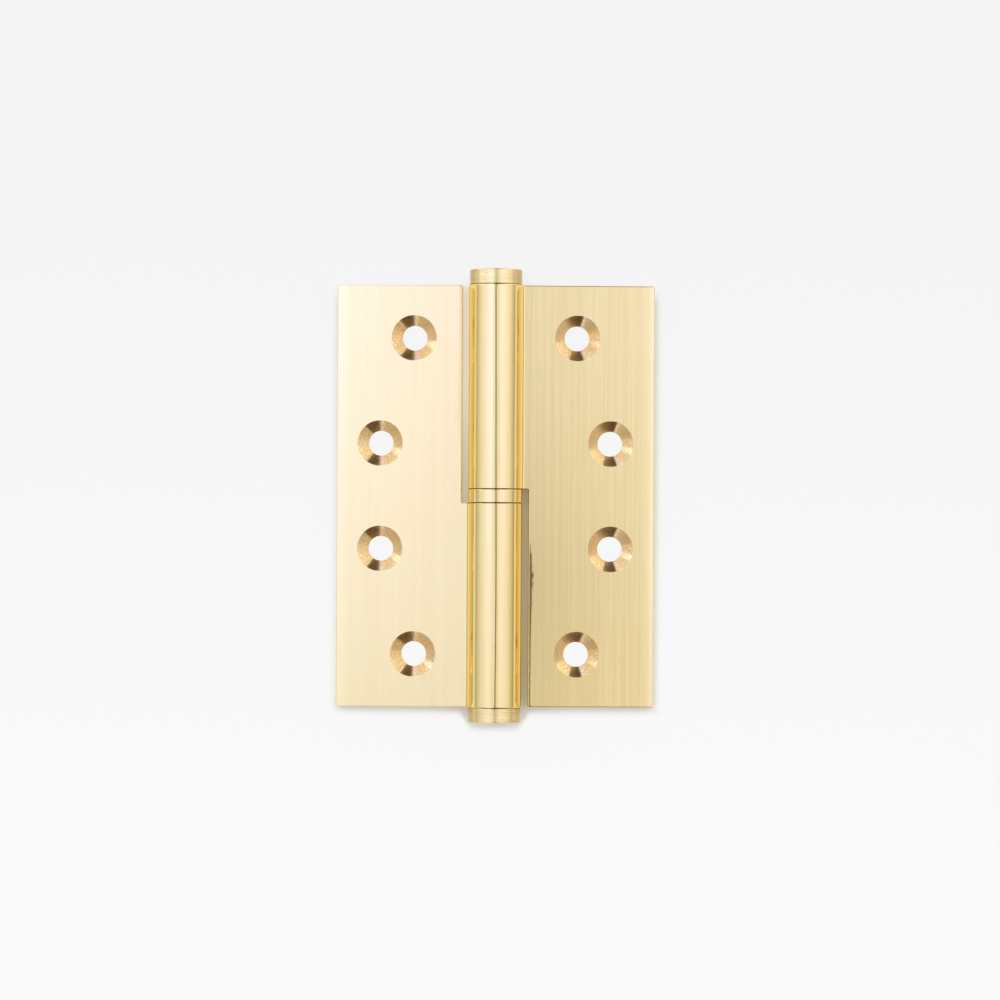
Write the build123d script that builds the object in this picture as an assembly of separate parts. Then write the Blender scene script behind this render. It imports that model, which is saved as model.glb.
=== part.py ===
from build123d import *

import math
import os

# Lift-off hinge, opened out flat with its screw faces up, as it lies on a table.
# Millimetres. +Z is up from the table and the pin runs along Y through x = 0.
# The door leaf is on the +X side and carries the upper knuckle, at +Y. The frame leaf is
# the same section turned half a turn about Z, so its knuckle is the lower one, at -Y.
# The knuckles hang below the leaves, so the hinge rests on them and on the leaves' outer
# edges, and each leaf slopes down from the pin to its outer edge.

# Leaves
leaf_height = 101.6
leaf_reach = 38.4
leaf_thickness = 3.5
leaf_corner_radius = 0.35
edge_break = 0.25
closed_gap = 1.0

# Knuckles
knuckle_diameter = 13.0
face_fillet = 0.6
back_fillet = 1.0
notch_gap = 1.65
notch_corner_radius = 0.3

# Pin, with the room left in the bore between its ends and the caps' plugs, the running fit
# that the door leaf and the washer have on it, and the washer's end play on each of its sides
pin_diameter = 7.0
pin_foot_room = 1.0
pin_tip_room = 9.0
pin_tip_radius = 1.2
pin_foot_chamfer = 0.4
running_fit = 0.05
end_play = 0.05
bore_lead_in = 0.4

# Washer
washer_thickness = 3.2
washer_break = 0.15

# Caps
cap_diameter = 12.6
cap_rim = 3.55
cap_crown = 0.45
cap_break = 0.2
plug_length = 8.0
plug_chamfer = 0.5

# Countersunk screw holes, in an end pair and a middle pair on each leaf
hole_diameter = 6.0
countersink_diameter = 10.8
countersink_angle = 90.0
end_hole_pitch = 76.2
end_hole_reach = 19.8
middle_hole_pitch = 25.4
middle_hole_reach = 27.9

# Worked out from the sizes above
knuckle_radius = knuckle_diameter / 2
pin_radius = pin_diameter / 2
running_radius = pin_radius + running_fit
face_level = -closed_gap / 2
back_level = face_level - leaf_thickness
middle_level = (face_level + back_level) / 2
notch_reach = knuckle_radius + notch_gap
knuckle_end = washer_thickness / 2 + end_play
leaf_end = leaf_height / 2

# Tilt that brings the eased lower edge of a leaf down to the level of the knuckle's underside
edge_centre_reach = leaf_reach - edge_break
edge_centre_drop = -back_level - edge_break
leaf_tilt = math.degrees(
    math.asin((knuckle_radius - edge_break) / math.hypot(edge_centre_reach, edge_centre_drop))
    - math.atan2(edge_centre_drop, edge_centre_reach)
)

# Turns a shape drawn along +Z about the origin so that it runs along +Y
ALONG_PIN = Rot(-90, 0, 0)


def rounded(profile, radius, corners):
    """Rounds the corners of a flat profile that lie at the given points."""
    chosen = [
        vertex
        for vertex in profile.vertices()
        if any((Vector(vertex) - Vector(*corner)).length < 0.01 for corner in corners)
    ]
    return fillet(chosen, radius)


def section():
    """Cross section of the drawn bar in the XZ plane: knuckle, plate and the two hollow corners."""
    plate = Plane.XZ * Pos(leaf_reach / 2, middle_level) * Rectangle(leaf_reach, leaf_thickness)
    bar = plate + Plane.XZ * Circle(knuckle_radius)
    face_corner = (math.sqrt(knuckle_radius**2 - face_level**2), 0, face_level)
    bar = rounded(bar, face_fillet, [face_corner])
    if -back_level < knuckle_radius:
        back_corner = (math.sqrt(knuckle_radius**2 - back_level**2), 0, back_level)
        bar = rounded(bar, back_fillet, [back_corner])
    return bar


def outline():
    """Outline of the leaf seen square on: full height, notched beside the other knuckle."""
    width = leaf_reach + knuckle_radius
    full = Pos((leaf_reach - knuckle_radius) / 2, 0) * Rectangle(width, leaf_height)
    notch_width = notch_reach + knuckle_radius
    notch_height = leaf_end + knuckle_end
    notch = Pos(
        (notch_reach - knuckle_radius) / 2, (knuckle_end - leaf_end) / 2
    ) * Rectangle(notch_width, notch_height)
    shape = full - notch
    shape = rounded(
        shape, leaf_corner_radius, [(leaf_reach, leaf_end, 0), (leaf_reach, -leaf_end, 0)]
    )
    return rounded(
        shape,
        notch_corner_radius,
        [(notch_reach, knuckle_end, 0), (notch_reach, -leaf_end, 0)],
    )


def outer_edges(blank):
    """Edges left by cutting the bar to its outline, which are broken all round.

    Edges along the pin that lie inside the notch line are tangent seams of the drawn
    section, and edges across the plate are tangent seams of the rounded corners.
    """
    tiny = 1e-4
    chosen = []
    for edge in blank.edges():
        box = edge.bounding_box()
        across = box.size.X > tiny
        beyond_notch = box.size.Y > tiny and box.min.X > notch_reach - tiny
        if across or beyond_notch:
            chosen.append(edge)
    return chosen


def screw_hole():
    """Countersunk hole about Z, opening upwards at the leaf's face."""
    half_angle = math.radians(countersink_angle / 2)
    sink_depth = (countersink_diameter - hole_diameter) / 2 / math.tan(half_angle)
    past = leaf_thickness
    shank = Pos(0, 0, middle_level) * Cylinder(hole_diameter / 2, leaf_thickness + past)
    sink_top_radius = countersink_diameter / 2 + past * math.tan(half_angle)
    sink = Pos(0, 0, face_level + (past - sink_depth) / 2) * Cone(
        hole_diameter / 2, sink_top_radius, sink_depth + past
    )
    return shank + sink


def leaf(bore_radius):
    """One leaf with its knuckle at +Y and its plate on the +X side, before it is tilted."""
    bar = extrude(section(), leaf_height / 2, both=True)
    prism = extrude(outline(), knuckle_diameter, both=True)
    blank = bar & prism
    blank = fillet(outer_edges(blank), edge_break)

    bore_length = leaf_end - knuckle_end
    bore = Pos(0, (leaf_end + knuckle_end) / 2, 0) * ALONG_PIN * Cylinder(bore_radius, bore_length)
    mouth = Pos(0, knuckle_end + bore_lead_in / 2, 0) * ALONG_PIN * Cone(
        bore_radius + bore_lead_in, bore_radius, bore_lead_in
    )
    blank = blank - bore - mouth

    for reach, pitch in ((end_hole_reach, end_hole_pitch), (middle_hole_reach, middle_hole_pitch)):
        for side in (-1, 1):
            blank -= Pos(reach, side * pitch / 2, 0) * screw_hole()
    return blank


def placed_leaf(bore_radius, turn):
    """A leaf tilted down about the pin, turned about Z and lifted so that it rests at z = 0."""
    return Pos(0, 0, knuckle_radius) * Rot(0, 0, turn) * Rot(0, leaf_tilt, 0) * leaf(bore_radius)


def hinge_pin():
    """Steel pin: pressed into the frame leaf's knuckle, with a rounded tip in the door leaf's."""
    plug_end = leaf_end - plug_length
    foot = pin_foot_room - plug_end
    tip = plug_end - pin_tip_room
    rod = Pos(0, 0, (foot + tip) / 2) * Cylinder(pin_radius, tip - foot)
    ends = rod.edges().filter_by(GeomType.CIRCLE).sort_by(Axis.Z)
    rod = fillet(ends[-1], pin_tip_radius)
    ends = rod.edges().filter_by(GeomType.CIRCLE).sort_by(Axis.Z)
    rod = chamfer(ends[0], pin_foot_chamfer)
    return Pos(0, 0, knuckle_radius) * ALONG_PIN * rod


def thrust_washer():
    """Ring that the upper knuckle turns on, with its four edges broken."""
    ring = Cylinder(knuckle_radius, washer_thickness) - Cylinder(running_radius, washer_thickness)
    ring = fillet(ring.edges().filter_by(GeomType.CIRCLE), washer_break)
    return Pos(0, 0, knuckle_radius) * ALONG_PIN * ring


def cap(bore_radius):
    """Cap about Z: a plug in the bore below z = 0 and a crowned head above it."""
    rim_radius = cap_diameter / 2
    crown = ThreePointArc((rim_radius, cap_rim), crown_point(rim_radius), (0, cap_rim + cap_crown))
    side = Polyline(
        (0, cap_rim + cap_crown),
        (0, -plug_length),
        (bore_radius - plug_chamfer, -plug_length),
        (bore_radius, plug_chamfer - plug_length),
        (bore_radius, 0),
        (rim_radius, 0),
        (rim_radius, cap_rim),
    )
    profile = Plane.XZ * make_face([*side.edges(), *crown.edges()])
    body = revolve(profile, Axis.Z)
    rims = [
        edge
        for edge in body.edges().filter_by(GeomType.CIRCLE)
        if edge.bounding_box().size.X > cap_diameter - cap_break
    ]
    return fillet(rims, cap_break)


def crown_point(rim_radius):
    """Point of the crown's arc halfway out from the middle to the rim."""
    dome_radius = (rim_radius**2 + cap_crown**2) / 2 / cap_crown
    halfway = rim_radius / 2
    drop = dome_radius - math.sqrt(dome_radius**2 - halfway**2)
    return (halfway, cap_rim + cap_crown - drop)


def placed_cap(bore_radius, turn):
    """A cap seated on the outer end of a knuckle; turn 180 puts it on the lower one."""
    seated = Pos(0, leaf_end, 0) * ALONG_PIN * cap(bore_radius)
    return Pos(0, 0, knuckle_radius) * Rot(0, 0, turn) * seated


parts = {
    "door_leaf": placed_leaf(running_radius, 0),
    "frame_leaf": placed_leaf(pin_radius, 180),
    "hinge_pin": hinge_pin(),
    "thrust_washer": thrust_washer(),
    "top_cap": placed_cap(running_radius, 0),
    "bottom_cap": placed_cap(pin_radius, 180),
}

os.makedirs("parts", exist_ok=True)
for name, shape in parts.items():
    export_step(shape, f"parts/{name}.step")

print(f"leaf tilt {leaf_tilt:.4f} degrees, open angle {180 + 2 * leaf_tilt:.3f} degrees")
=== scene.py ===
"""Lift-off hinge in solid drawn brass, lying opened out on a pale table.

Lengths in the classes are millimetres, in each piece's own frame, and become metres in the
row frame when a piece is placed: +Z up from the table, +Y along the pin, +X to the door leaf.
"""

import logging
import math
from dataclasses import dataclass
from enum import Enum

import bpy
import numpy as np
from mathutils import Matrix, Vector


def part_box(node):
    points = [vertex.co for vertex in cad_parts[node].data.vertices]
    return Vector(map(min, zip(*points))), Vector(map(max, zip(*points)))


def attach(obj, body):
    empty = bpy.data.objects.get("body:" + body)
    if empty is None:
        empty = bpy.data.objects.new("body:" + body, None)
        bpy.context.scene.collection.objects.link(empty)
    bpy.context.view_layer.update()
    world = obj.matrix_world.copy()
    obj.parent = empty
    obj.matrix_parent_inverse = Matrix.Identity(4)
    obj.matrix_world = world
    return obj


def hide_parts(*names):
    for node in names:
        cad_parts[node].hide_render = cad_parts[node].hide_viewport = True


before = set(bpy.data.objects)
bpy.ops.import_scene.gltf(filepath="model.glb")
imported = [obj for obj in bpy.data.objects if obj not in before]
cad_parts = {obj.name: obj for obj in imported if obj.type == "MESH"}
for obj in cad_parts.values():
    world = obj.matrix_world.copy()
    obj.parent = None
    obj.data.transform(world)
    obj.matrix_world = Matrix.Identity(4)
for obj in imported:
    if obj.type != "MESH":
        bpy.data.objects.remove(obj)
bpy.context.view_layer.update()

LOG = logging.getLogger("hinge")
MM = 0.001  # metres in a millimetre
STEP = 0.7  # spacing of the samples along a leaf's edges
ARC_STEPS = 6  # steps in the quarter round of a broken edge
TURN_STEPS = 256  # steps round a turned piece
WELD_DIGITS = 4  # decimals of a millimetre within which two points are the same


def linear(hex_colour: str) -> tuple[float, float, float, float]:
    """Turns an sRGB hex colour into linear light.

    Args:
        hex_colour: six hex digits after a hash sign.

    Returns:
        Linear red, green, blue and an alpha of 1.
    """
    parts = [int(hex_colour[i : i + 2], 16) / 255 for i in (1, 3, 5)]
    red, green, blue = (p / 12.92 if p <= 0.04045 else ((p + 0.055) / 1.055) ** 2.4 for p in parts)
    return red, green, blue, 1.0


def add_node(
    tree: bpy.types.NodeTree, kind: str, inputs: dict | None = None, **settings: object
) -> bpy.types.Node:
    """Adds one shader node.

    Args:
        tree: the node tree that it goes into.
        kind: Blender's name of the node type.
        inputs: socket name or number to a value, or to the output socket that feeds it.
        settings: properties of the node itself.

    Returns:
        The new node.
    """
    made = tree.nodes.new(kind)
    for key, value in settings.items():
        setattr(made, key, value)
    for key, value in (inputs or {}).items():
        if isinstance(value, bpy.types.NodeSocket):
            tree.links.new(value, made.inputs[key])
        else:
            made.inputs[key].default_value = value
    return made


class Zone(Enum):
    """A part of a piece's surface, numbered by the place of its finish among the piece's."""


class LeafZone(Zone):
    """Parts of a leaf that are finished differently."""

    DRAWN = 0
    POLISHED = 1
    MACHINED = 2
    SAWN = 3


class TurnedZone(Zone):
    """Parts of a turned piece that are finished differently."""

    SIDE = 0
    END = 1


# Surfaces


@dataclass
class Placement:
    """How a piece's own frame sits in the row frame.

    Attributes:
        tilt: turn about the pin in radians that lowers the outer edge of a leaf.
        half_turn: whether the piece is turned half a turn about Z.
        lift: height of the pin's axis above the table.
    """

    tilt: float = 0.0
    half_turn: bool = False
    lift: float = 6.5

    def turned(self, vectors: np.ndarray) -> np.ndarray:
        """Turns directions from the piece's frame into the row frame.

        Args:
            vectors: directions, with their three parts last.

        Returns:
            The turned directions.
        """
        c, s = math.cos(self.tilt), math.sin(self.tilt)
        side = -1.0 if self.half_turn else 1.0
        matrix = np.array([[side * c, 0, side * s], [0, side, 0], [-s, 0, c]])
        return vectors @ matrix.T

    def placed(self, points: np.ndarray) -> np.ndarray:
        """Moves points from the piece's frame in millimetres into the row frame in metres."""
        return (self.turned(points) + np.array([0, 0, self.lift])) * MM


class Skin:
    """A closed surface sewn together from grid patches that share their edge points."""

    def __init__(self) -> None:
        """Starts with no patches."""
        self.points: list[np.ndarray] = []
        self.normals: list[np.ndarray] = []
        self.maps: list[np.ndarray] = []
        self.quads: list[np.ndarray] = []
        self.zones: list[np.ndarray] = []
        self.count = 0

    def add(self, points: np.ndarray, normals: np.ndarray, flat: np.ndarray, zone: Zone) -> None:
        """Adds one patch, a grid of rows and columns.

        Args:
            points: rows x columns x 3 places.
            normals: the same shape, the exact outward direction at each point.
            flat: rows x columns x 2, the point's place on the unrolled surface.
            zone: the finish that the patch gets.
        """
        rows, columns = points.shape[:2]
        index = np.arange(rows * columns).reshape(rows, columns) + self.count
        quads = np.stack([index[:-1, :-1], index[1:, :-1], index[1:, 1:], index[:-1, 1:]], -1)
        quads = quads.reshape(-1, 4)
        flat_points = points.reshape(-1, 3)
        corners = flat_points[quads - self.count]
        facing = np.cross(corners[:, 2] - corners[:, 0], corners[:, 3] - corners[:, 1])
        wanted = normals.reshape(-1, 3)[quads - self.count].mean(1)
        wrong = (facing * wanted).sum(1) < 0
        quads[wrong] = quads[wrong][:, ::-1]
        self.points.append(flat_points)
        self.normals.append(normals.reshape(-1, 3))
        self.maps.append(flat.reshape(-1, 2))
        self.quads.append(quads)
        self.zones.append(np.full(len(quads), zone.value))
        self.count += rows * columns

    def build(self, name: str, placement: Placement, materials: list[bpy.types.Material],
              flank_reflection_and_facet: np.ndarray) -> bpy.types.Object:
        """Welds the patches and makes the mesh object.

        Quads with two corners on one point, as at a pole, become triangles.

        Args:
            name: name of the object.
            placement: where the piece goes.
            materials: one for each zone, in their order.
            flank_reflection_and_facet: share at each point, 0 to 1, of the deeper gold painted on
                the flanks as a reflection, and of the honed facet.

        Returns:
            The object, linked to the scene.
        """
        points = np.concatenate(self.points)
        normals = np.concatenate(self.normals)
        maps = np.concatenate(self.maps)
        quads = np.concatenate(self.quads)
        zones = np.concatenate(self.zones)
        _, first, weld = np.unique(
            np.round(points, WELD_DIGITS), axis=0, return_index=True, return_inverse=True
        )
        weld = weld.reshape(-1)
        welded = weld[quads]
        pinched = np.stack([welded[:, i] == welded[:, (i + 1) % 4] for i in range(4)], 1)
        whole = ~pinched.any(1)
        loops = [quads[whole]]
        face_zones = [zones[whole]]
        for corner in range(4):
            chosen = pinched[:, corner] & (pinched.sum(1) == 1)
            keep = [i for i in range(4) if i != corner]
            loops.append(quads[chosen][:, keep])
            face_zones.append(zones[chosen])
        faces = [face for part in loops for face in weld[part].tolist()]
        order = np.concatenate([part.reshape(-1) for part in loops])

        mesh = bpy.data.meshes.new(name)
        mesh.from_pydata(placement.placed(points[first]), [], faces)
        mesh.polygons.foreach_set("use_smooth", np.ones(len(faces), bool))
        mesh.polygons.foreach_set("material_index", np.concatenate(face_zones).astype(np.int32))
        layer = mesh.uv_layers.new(name="unrolled")
        layer.data.foreach_set("uv", maps[order].astype(np.float32).reshape(-1))
        # Painted reflection: the share of deeper gold on the flanks, and the honed facet, at each
        # point.
        gold = mesh.attributes.new("flank_reflection_and_facet", "FLOAT", "POINT")
        gold.data.foreach_set("value", flank_reflection_and_facet[first].astype(np.float32))
        for material in materials:
            mesh.materials.append(material)
        mesh.update()
        mesh.normals_split_custom_set(placement.turned(normals[order]).tolist())
        made = bpy.data.objects.new(name, mesh)
        bpy.context.scene.collection.objects.link(made)
        return made


def joined(*stretches: np.ndarray) -> np.ndarray:
    """Joins stretches of samples end to end, dropping each repeated first sample."""
    return np.concatenate([stretches[0], *[s[1:] for s in stretches[1:]]])


def spaced(start: float, stop: float, step: float) -> np.ndarray:
    """Even samples from start to stop, both included, about one step apart."""
    return np.linspace(start, stop, max(2, round(abs(stop - start) / step) + 1))


def eased(value: np.ndarray, low: float, high: float) -> np.ndarray:
    """Goes from 0 at low to 1 at high with level ends, as 3t^2 - 2t^3 of the share t of the way."""
    share = np.clip((value - low) / (high - low), 0, 1)
    return share * share * (3 - 2 * share)


def arc(
    centre: tuple[float, float], radius: float, start: float, stop: float, steps: int
) -> tuple[np.ndarray, np.ndarray]:
    """Points on an arc and the directions from its centre.

    Args:
        centre: the arc's centre.
        radius: its radius.
        start: first angle in degrees.
        stop: last angle in degrees.
        steps: number of steps between them.

    Returns:
        The points and the outward directions, each steps + 1 by 2.
    """
    angles = np.radians(np.linspace(start, stop, steps + 1))
    directions = np.stack([np.cos(angles), np.sin(angles)], 1)
    return np.array(centre) + radius * directions, directions


def revolved(skin: Skin, radii: np.ndarray, heights: np.ndarray, angles: np.ndarray, zone: Zone,
             out: float = 1.0, centre: tuple[float, float] = (0.0, 0.0), axis: int = 1,
             lean: float = 0.0) -> None:
    """Adds a surface of revolution: a profile of radius against height, carried round an axis.

    The normal is square to the profile's tangent and points away from the axis for out = 1.

    Args:
        skin: the surface that it is added to.
        radii: radius at each profile point.
        heights: place along the axis at each profile point.
        angles: the turn at each column, in radians.
        zone: the finish.
        out: 1 or -1, which side of the profile is outside.
        centre: the axis's place in the two other directions.
        axis: 1 for an axis along Y, 2 for one along Z.
        lean: angle in radians by which the normals of a hollow's wall lean towards its axis.
    """
    tangent = np.stack([np.gradient(radii), np.gradient(heights)], 1)
    tangent /= np.linalg.norm(tangent, axis=1, keepdims=True) + 1e-12
    normal = np.stack([tangent[:, 1], -tangent[:, 0]], 1) * out
    normal = normal * math.cos(lean) + np.stack([normal[:, 1], -normal[:, 0]], 1) * math.sin(lean)
    c, s = np.cos(angles)[None, :], np.sin(angles)[None, :]
    along = np.broadcast_to(heights[:, None], (len(radii), len(angles)))
    first = centre[0] + radii[:, None] * c
    second = centre[1] + radii[:, None] * s
    normal_first, normal_second = normal[:, :1] * c, normal[:, :1] * s
    normal_along = np.broadcast_to(normal[:, 1:], along.shape)
    if axis == 1:
        points = np.stack([first, along, second], -1)
        normals = np.stack([normal_first, normal_along, normal_second], -1)
    else:
        points = np.stack([first, second, along], -1)
        normals = np.stack([normal_first, normal_second, normal_along], -1)
    length = np.concatenate([[0], np.cumsum(np.hypot(np.diff(radii), np.diff(heights)))])
    flat = np.stack(np.broadcast_arrays(angles[None, :] * radii.max(), length[:, None]), -1)
    skin.add(points, normals, flat, zone)


# Sizes


@dataclass(frozen=True)
class Sizes:
    """Sizes that more than one piece shares.

    Attributes:
        height: leaf height along the pin.
        knuckle: knuckle radius.
        pin: pin radius.
        knuckle_end: distance from the middle of the hinge to a knuckle's inner end.
        running_fit: room between the pin and what turns on it.
        end_play: room beside the washer, between it and a knuckle.
    """

    height: float
    knuckle: float
    pin: float
    knuckle_end: float
    running_fit: float = 0.05
    end_play: float = 0.05

    @classmethod
    def from_frame(cls) -> "Sizes":
        """Reads the shared sizes off the frame's own pieces.

        Returns:
            The sizes, in millimetres.
        """
        low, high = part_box("door_leaf")
        washer_low, washer_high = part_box("thrust_washer")
        pin_low, pin_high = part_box("hinge_pin")
        return cls(
            height=(high.y - low.y) / MM,
            knuckle=high.z / 2 / MM,
            pin=(pin_high.x - pin_low.x) / 2 / MM,
            knuckle_end=(washer_high.y - washer_low.y) / 2 / MM + cls.end_play,
        )


# Pieces


@dataclass
class Leaf:
    """One leaf with its knuckle, in its own frame: plate towards +X, knuckle at +Y.

    Attributes:
        name: name of the piece and of the node that it stands for.
        body: the body that it moves with.
        sizes: the sizes shared with the other pieces.
        half_turn: whether it is turned round to the frame side.
        bore: radius of the knuckle's bore.
        reach: from the pin's axis to the outer edge.
        face: level of the countersunk face, below the pin's axis.
        back: level of the back.
        edge: radius of the broken edges.
        corner: radius of the outer corners.
        notch: from the pin's axis to the notched edge.
        notch_corner: radius of the notch's corners.
        face_hollow: radius between knuckle and face.
        back_hollow: radius between knuckle and back.
        lead_in: chamfer of the bore's mouth.
        bar: how far along the drawn bar the leaf was cut, which shifts its lines.
        roll: width of the strip beside the outer edge that brushing has rounded over.
        roll_drop: how much lower its outer side has become.
        facet: width of the facet beside the notched edge where it is widest.
        facet_shape: places along the pin and the share of that width there: none at the ledge,
            widest below the middle, then narrow.
        facet_lean: slope of the facet at its start, and how much steeper it is at the end.
        facet_steepens: place along the pin below which it gets steeper, and over what length.
        facet_fade: distance over which its slope sets in.
        hole: radius of a screw hole.
        sink: radius of its countersink at the face.
        rim: width of the broken rim of a countersink.
        tread: angle in degrees by which the fine steps in a countersink lie flatter than its cone.
        pitch: distance between screw holes along the pin.
        end_hole: from the pin's axis to the end holes.
        middle_hole: from the pin's axis to the middle holes.
    """

    name: str
    body: str
    sizes: Sizes
    half_turn: bool
    bore: float
    reach: float = 38.4
    face: float = -0.5
    back: float = -4.0
    edge: float = 0.25
    corner: float = 0.35
    notch: float = 8.15
    notch_corner: float = 0.3
    face_hollow: float = 0.6
    back_hollow: float = 1.0
    lead_in: float = 0.4
    bar: float = 0.0
    roll: float = 2.4
    roll_drop: float = 0.12
    facet: float = 0.95
    facet_shape: tuple[tuple[float, float], ...] = (
        (-51, 0.42), (-42, 0.42), (-33, 0.45), (-27, 0.55),
        (-23, 0.8), (-19, 0.95), (-15, 0.65), (-10, 0),
    )
    facet_lean: tuple[float, float] = (0.024, 0.022)
    facet_steepens: tuple[float, float] = (-12.0, 38.0)
    facet_fade: float = 0.2
    hole: float = 3.0
    sink: float = 5.4
    rim: float = 0.08
    tread: float = 6.0
    pitch: float = 25.4
    end_hole: float = 19.8
    middle_hole: float = 27.9

    def tilt(self) -> float:
        """Works out the turn about the pin that brings the outer edge down to the table.

        Returns:
            The turn in radians.
        """
        out = self.reach - self.edge
        down = -self.back - self.edge
        rise = self.sizes.knuckle - self.edge
        return math.asin(rise / math.hypot(out, down)) - math.atan2(down, out)

    def contour(self) -> tuple[np.ndarray, np.ndarray]:
        """Outline of the knuckle in section: face hollow, round, back hollow and some back.

        Returns:
            The points in x and z, and the outward directions, going round from the face.
        """
        big, round_steps, hollow_steps = self.sizes.knuckle, 200, 10
        face_z = self.face + self.face_hollow
        face_x = math.sqrt((big + self.face_hollow) ** 2 - face_z**2)
        start = math.degrees(math.atan2(face_z, face_x))
        back_z = self.back - self.back_hollow
        back_x = math.sqrt((big + self.back_hollow) ** 2 - back_z**2)
        stop = 360 + math.degrees(math.atan2(back_z, back_x))
        hollow, hollow_out = arc(
            (face_x, face_z), self.face_hollow, -90, start - 180, hollow_steps)
        round_points, round_out = arc((0, 0), big, start, stop, round_steps)
        under, under_out = arc(
            (back_x, back_z), self.back_hollow, stop - 180, 90, hollow_steps)
        flat_x = spaced(back_x, face_x, 0.5)
        flat = np.stack([flat_x, np.full_like(flat_x, self.back)], 1)
        flat_out = np.tile([0.0, -1.0], (len(flat_x), 1))
        points = joined(hollow, round_points, under, flat)
        return points, joined(-hollow_out, round_out, -under_out, flat_out)

    def outline(self, face_x: float) -> dict[str, tuple[np.ndarray, np.ndarray]]:
        """Outline of the plate seen square on, in named stretches going clockwise.

        Args:
            face_x: where the knuckle's hollow meets the face.

        Returns:
            For each stretch the points in x and y, and the outward directions.
        """
        end, ledge = self.sizes.height / 2, self.sizes.knuckle_end
        inner = self.notch + self.edge
        right, corner, small = self.reach - self.corner, self.corner, self.notch_corner

        def line(xs: np.ndarray | float, ys: np.ndarray | float, out: tuple[float, float]) -> tuple:
            """Points of a straight stretch, and its one outward direction for each."""
            xs, ys = np.broadcast_arrays(np.atleast_1d(xs), np.atleast_1d(ys))
            return np.stack([xs, ys], 1).astype(float), np.tile(np.array(out, float), (len(xs), 1))

        ledge_x = spaced(self.notch - small, face_x, 0.25)
        hollow, corner_steps, tip_steps = 6, 8, 5
        top_inner_x = np.linspace(face_x, inner, len(ledge_x) + hollow)
        concave, concave_out = arc((self.notch - small, ledge - small), small, 0, 90, hollow)
        return {
            "top_inner": line(top_inner_x, end, (0, 1)),
            "top": line(spaced(inner, right, STEP), end, (0, 1)),
            "top_corner": arc((right, end - corner), corner, 90, 0, corner_steps),
            "side_3": line(self.reach, spaced(end - corner, self.pitch, STEP), (1, 0)),
            "side_2": line(self.reach, spaced(self.pitch, 0, STEP), (1, 0)),
            "side_1": line(self.reach, spaced(0, -self.pitch, STEP), (1, 0)),
            "side_0": line(self.reach, spaced(-self.pitch, corner - end, STEP), (1, 0)),
            "low_corner": arc((right, corner - end), corner, 0, -90, corner_steps),
            "low": line(spaced(right, self.notch + small, STEP), -end, (0, -1)),
            "notch_tip": arc((self.notch + small, small - end), small, -90, -180, tip_steps),
            "notch_0": line(self.notch, spaced(small - end, -self.pitch, STEP), (-1, 0)),
            "notch_1": line(self.notch, spaced(-self.pitch, 0, STEP), (-1, 0)),
            "notch_2": line(self.notch, spaced(0, ledge - small, STEP), (-1, 0)),
            "hollow": (concave, -concave_out),
            "ledge": line(ledge_x, ledge, (0, -1)),
        }

    def build(self) -> Skin:
        """Sews the leaf's surface together.

        Returns:
            The closed surface, in the leaf's own frame.
        """
        skin = Skin()
        contour, contour_out = self.contour()
        face_x = contour[0, 0]
        outline = self.outline(face_x)
        inset = {key: points - out * self.edge for key, (points, out) in outline.items()}
        inner = self.notch + self.edge
        low_y = self.sizes.knuckle_end - self.notch_corner
        high_y = self.sizes.height / 2 - self.edge
        inner_2 = spaced(low_y, self.pitch, STEP)
        inner_3 = spaced(self.pitch, high_y, STEP)
        rows = joined(inner_2, inner_3)
        share = (rows - low_y) / (high_y - low_y)
        start_y = self.sizes.knuckle_end + self.edge
        knuckle_y = start_y + share * (high_y - start_y)

        for level, up in ((self.face, 1.0), (self.back, -1.0)):
            self.add_cells(skin, inset, inner, inner_2, inner_3, level, up)
            self.add_neck(skin, inset, rows, knuckle_y, face_x, inner, level, up)
        wall = spaced(self.face - self.edge, self.back + self.edge, 0.5)
        self.add_rim(skin, outline, wall)
        self.add_knuckle(skin, contour, contour_out, knuckle_y, wall, face_x)
        self.roll_over(skin)
        return skin

    def drop(self, x: np.ndarray, y: np.ndarray) -> np.ndarray:
        """How much the face is lowered along its outer edge and along its notched edge.

        By the outer edge, which brushing has rounded over, it grows with the square of the
        distance into the strip. By the notched edge it grows evenly, after a short fade, with
        the distance into a facet honed by hand, which gets steeper towards the leaf's end.

        Args:
            x: places across the leaf.
            y: places along the pin.

        Returns:
            The drop at each place.
        """
        outer = np.clip((x - (self.reach - self.edge - self.roll)) / self.roll, 0, 1)
        fade, (start, length) = self.facet_fade, self.facet_steepens
        into = np.maximum(self.notch + self.edge + self.facet_width(y) - x, 0)
        lean = self.facet_lean[0] + self.facet_lean[1] * np.clip((start - y) / length, 0, 1)
        facet = lean * (into - fade / 2 + np.maximum(fade - into, 0) ** 2 / 2 / fade)
        return self.roll_drop * outer**2 + facet

    def facet_width(self, y: np.ndarray) -> np.ndarray:
        """Width of the facet: its width where it is widest times its shape, slightly wavy.

        Args:
            y: places along the pin.

        Returns:
            The width at each place.
        """
        share = np.interp(y, *np.array(self.facet_shape).T)
        return self.facet * share * (1 + 0.06 * np.sin(2.9 * y) + 0.05 * np.sin(7.3 * y))

    def honed(self, points: np.ndarray) -> np.ndarray:
        """Whether each point lies in the facet, fading out at its border.

        Args:
            points: places in the leaf's own frame.

        Returns:
            1 in the facet and 0 elsewhere.
        """
        border, top, full = 0.1, -9.0, -12.0
        x, y, z = points.T
        into = self.notch + self.edge + self.facet_width(y) - x
        on_top = (x > self.notch + border) * (z > self.face - self.edge)
        return eased(into, 0, border) * on_top * eased(y, top, full)

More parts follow.
